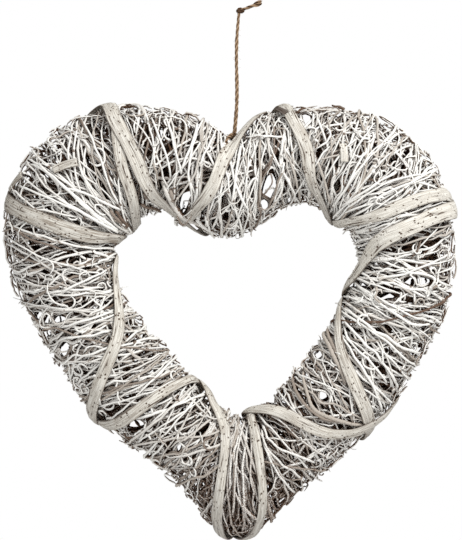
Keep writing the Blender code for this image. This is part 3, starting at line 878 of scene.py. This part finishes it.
def mixed(tree, share, low, high):
    # low and high are colours or sockets
    low, high = ((*value, 1) if isinstance(value, tuple) else value for value in (low, high))
    node = addNode(tree, "ShaderNodeMix", {"data_type": "RGBA"}, Factor=share, A=low, B=high)
    return node.outputs["Result"]


def stretched(tree, place, times):
    return addNode(tree, "ShaderNodeVectorMath", {"operation": "MULTIPLY"}, at0=place, at1=times).outputs[0]


# Flaked paint: where the paint holds, from how far out a place faces and how deep it lies; the bare dark bark
# left deep down and on the flanks is partly painted shade between the twigs
flake, given, mask = newGroup(
    "flakedPaint",
    [("Exposure", "NodeSocketFloat", 0.5), ("Place", "NodeSocketVector", None),
     ("Grit", "NodeSocketFloat", 900.0), ("Wear", "NodeSocketFloat", 0.35)],
    "Mask",
)
grit = addNode(flake, "ShaderNodeTexNoise", Vector=given["Place"], Scale=given["Grit"], Detail=3.0,
               Roughness=0.6)
worn = reckon(flake, "MULTIPLY", reckon(flake, "SUBTRACT", grit.outputs["Fac"], 0.5), given["Wear"])
total = reckon(flake, "ADD", given["Exposure"], worn)
flake.links.new(ramped(flake, total, 0.28, 0.52, kind="SMOOTHSTEP"), mask)

# Fibre grain: streaks that follow the place attribute's long axis
grain, given, streak = newGroup(
    "fibreGrain",
    [("Place", "NodeSocketVector", None), ("Fineness", "NodeSocketVector", (1.0, 1.0, 1.0)),
     ("Detail", "NodeSocketFloat", 3.0)],
    "Streak",
)
finePlace = stretched(grain, given["Place"], given["Fineness"])
streaks = addNode(grain, "ShaderNodeTexNoise", Vector=finePlace, Scale=1.0, Detail=given["Detail"],
                  Roughness=0.55)
grain.links.new(streaks.outputs["Fac"], streak)


def grained(tree, place, fineness, detail=3.0):
    inputs = {"Place": place, "Fineness": fineness, "Detail": detail}
    return addNode(tree, "ShaderNodeGroup", {"node_tree": grain}, **inputs).outputs["Streak"]


def newMaterial(name, roughness):
    material = bpy.data.materials.new(name)
    material.use_nodes = True
    shader = material.node_tree.nodes["Principled BSDF"]
    shader.inputs["Roughness"].default_value = roughness
    shader.inputs["Specular IOR Level"].default_value = 0.10
    return material, material.node_tree, shader


def dress(tree, shader, colour, height, strength):
    tree.links.new(colour, shader.inputs["Base Color"])
    bump = addNode(tree, "ShaderNodeBump", Height=height, Strength=strength, Distance=0.0004)
    tree.links.new(bump.outputs["Normal"], shader.inputs["Normal"])


twigFinish = {
    "roughness": 0.85,
    "bareBelow": -0.0125,
    "fullAbove": -0.001,
    "facingFrom": -0.18,
    "facingTo": 0.52,
    "fullest": 0.80,
    "grit": 1250.0,
    "wear": 2.1,
    "grain": (1500, 1500, 190),
    "paint": (0.95, 0.935, 0.89),
    "paintDark": (0.50, 0.445, 0.385),
    "barePaint": (0.13, 0.080, 0.055),
    "bark": (0.24, 0.140, 0.088),
    "barkDark": (0.060, 0.031, 0.019),
}
material, tree, shader = newMaterial("whitewashedTwig", twigFinish["roughness"])
place, coatAndShade = readAttribute(tree, "place", "Vector"), readAttribute(tree, "coatAndShade")
# deep twigs and flanks turned from the outside stay bare dark bark: partly unpainted bark, partly painted
# shade in the gaps between twigs
reach = ramped(tree, readAttribute(tree, "depth"), twigFinish["bareBelow"], twigFinish["fullAbove"])
turned = ramped(tree, readAttribute(tree, "facing"), twigFinish["facingFrom"], twigFinish["facingTo"],
                twigFinish["fullest"])
paintReachAndShade = reckon(tree, "MULTIPLY", reckon(tree, "MULTIPLY", reach, turned), coatAndShade)
paintAndShadeMask = addNode(tree, "ShaderNodeGroup", {"node_tree": flake}, Exposure=paintReachAndShade, Place=place,
                    Grit=twigFinish["grit"], Wear=twigFinish["wear"]).outputs["Mask"]
# the same regional amount scales the whitewash tone, so whole regions brighten or darken: partly painted
# light and shade
paint = addNode(tree, "ShaderNodeValToRGB", Fac=reckon(tree, "MULTIPLY", readAttribute(tree, "tone"), coatAndShade))
ramp = paint.color_ramp.elements
ramp[0].color = (*twigFinish["barePaint"], 1)
ramp[1].color = (*twigFinish["paint"], 1)
ramp[1].position = 0.5
ramp.new(0.09).color = (*twigFinish["paintDark"], 1)
streak = grained(tree, place, twigFinish["grain"])
bareBark = mixed(tree, streak, twigFinish["barkDark"], twigFinish["bark"])
dress(tree, shader, mixed(tree, paintAndShadeMask, bareBark, paint.outputs["Color"]), streak, 0.5)
for piece in pieces:
    piece.data.materials.append(material)

barkFinish = {
    "roughness": 0.82,
    "paint": (0.90, 0.885, 0.83),
    "warm": (0.76, 0.71, 0.61),
    "line": (0.40, 0.34, 0.275),
    "shade": (0.13, 0.095, 0.07),
    "paintedUnderShade": (0.34, 0.32, 0.30),
    "pit": (0.10, 0.065, 0.045),
    "bare": (0.060, 0.038, 0.028),
    "lineGrain": (1400, 55, 1),
    "crackGrain": (640, 34, 1),
    "pitGrain": (560, 330, 1),
}
material, tree, shader = newMaterial("whitewashedBark", barkFinish["roughness"])
place, pale = readAttribute(tree, "place", "Vector"), readAttribute(tree, "pale")
broad = addNode(tree, "ShaderNodeTexNoise", Vector=place, Scale=90.0, Detail=3.0, Roughness=0.6)
colour = mixed(tree, broad.outputs["Fac"], barkFinish["paint"], barkFinish["warm"])
fine = ramped(tree, grained(tree, place, barkFinish["lineGrain"], 4.0), 0.38, 0.54)
calm = ramped(tree, pale, 0.80, 1.0, 0.75)  # the palest strips have the faintest lines
colour = mixed(tree, reckon(tree, "MAXIMUM", fine, calm), barkFinish["line"], colour)
pits = addNode(tree, "ShaderNodeTexVoronoi", Vector=stretched(tree, place, barkFinish["pitGrain"]), Scale=1.0)
pitSpot = ramped(tree, pits.outputs["Distance"], 0.36, 0.22)
pitWhere = addNode(tree, "ShaderNodeTexNoise", Vector=place, Scale=150.0, Detail=1.0)
pitOnly = reckon(tree, "MULTIPLY", pitSpot, ramped(tree, pitWhere.outputs["Fac"], 0.49, 0.54))
cracked = ramped(tree, grained(tree, place, barkFinish["crackGrain"]), 0.60, 0.68)
colour = mixed(tree, reckon(tree, "MAXIMUM", pitOnly, cracked), colour, barkFinish["pit"])
# strip edges darkened towards a deep brown: painted shadow along the edges
rim = ramped(tree, readAttribute(tree, "edge"), 0.82, 1.0, 0.85)
# strip parts that face downwards turn grey: painted shade on their lower sides
low = ramped(tree, readAttribute(tree, "down"), 0.35, 0.95, 0.45)
colour = mixed(tree, low, mixed(tree, rim, colour, barkFinish["shade"]), barkFinish["paintedUnderShade"])
dress(tree, shader, mixed(tree, pale, barkFinish["bare"], colour), fine, 0.6)
for piece in stripPieces:
    piece.data.materials.append(material)

juteFinish = {
    "roughness": 0.95,
    "light": (0.50, 0.34, 0.21),
    "dark": (0.055, 0.027, 0.014),
    "grain": (2200, 2200, 260),
}
material, tree, shader = newMaterial("twistedJute", juteFinish["roughness"])
streak = grained(tree, readAttribute(tree, "place", "Vector"), juteFinish["grain"])
# strands lighter on the side turned out from the cord's middle and dark in the grooves between them, broken
# by fibre streaks: painted highlight and painted shade
paintedLightAndGrain = reckon(tree, "MULTIPLY", ramped(tree, readAttribute(tree, "facing"), -0.5, 0.6), streak)
colour = mixed(tree, ramped(tree, paintedLightAndGrain, 0.20, 0.62), juteFinish["dark"], juteFinish["light"])
dress(tree, shader, colour, streak, 0.7)
for piece in [cord, knot, fuzz, hitch] + tailRuns:
    piece.data.materials.append(material)
print("finishes made")

# Studio: pale floor well below, white all round, a large soft light above and in front
studio = {"floorZ": -0.60, "sky": 0.36, "key": 28.5, "fill": 5.0}
floorShape = bmesh.new()
bmesh.ops.create_grid(floorShape, x_segments=1, y_segments=1, size=1.3)
bmesh.ops.translate(floorShape, verts=floorShape.verts, vec=(0, 0, studio["floorZ"]))
floorMesh = bpy.data.meshes.new("paleFloor")
floorShape.to_mesh(floorMesh)
floorShape.free()
floor = addObject("paleFloor", floorMesh)
floorMaterial, _, floorShader = newMaterial("paleFloor", 0.9)
floorShader.inputs["Base Color"].default_value = (0.9, 0.9, 0.9, 1)
floor.data.materials.append(floorMaterial)

world = bpy.data.worlds.new("whiteStudio")
bpy.context.scene.world = world
world.use_nodes = True
sky = world.node_tree
background = sky.nodes["Background"]
background.inputs["Color"].default_value = (1, 1, 1, 1)
eye = addNode(sky, "ShaderNodeLightPath").outputs["Is Camera Ray"]
sky.links.new(ramped(sky, eye, 0.0, 1.0, bottom=studio["sky"]), background.inputs["Strength"])


def softLight(name, place, aim, size, power):
    data = bpy.data.lights.new(name, "AREA")
    data.shape = "DISK"
    data.size = size
    data.energy = power
    lamp = addObject(name, data)
    lamp.location = place
    lamp.rotation_euler = (Vector(aim) - Vector(place)).to_track_quat("-Z", "Y").to_euler()


softLight("keyLight", (0.80, -1.10, 0.95), (0, 0, -0.22), 0.8, studio["key"])
softLight("fillLight", (-1.3, -1.2, 0.1), (0, 0, -0.22), 1.2, studio["fill"])
bpy.context.scene.view_settings.view_transform = "Standard"
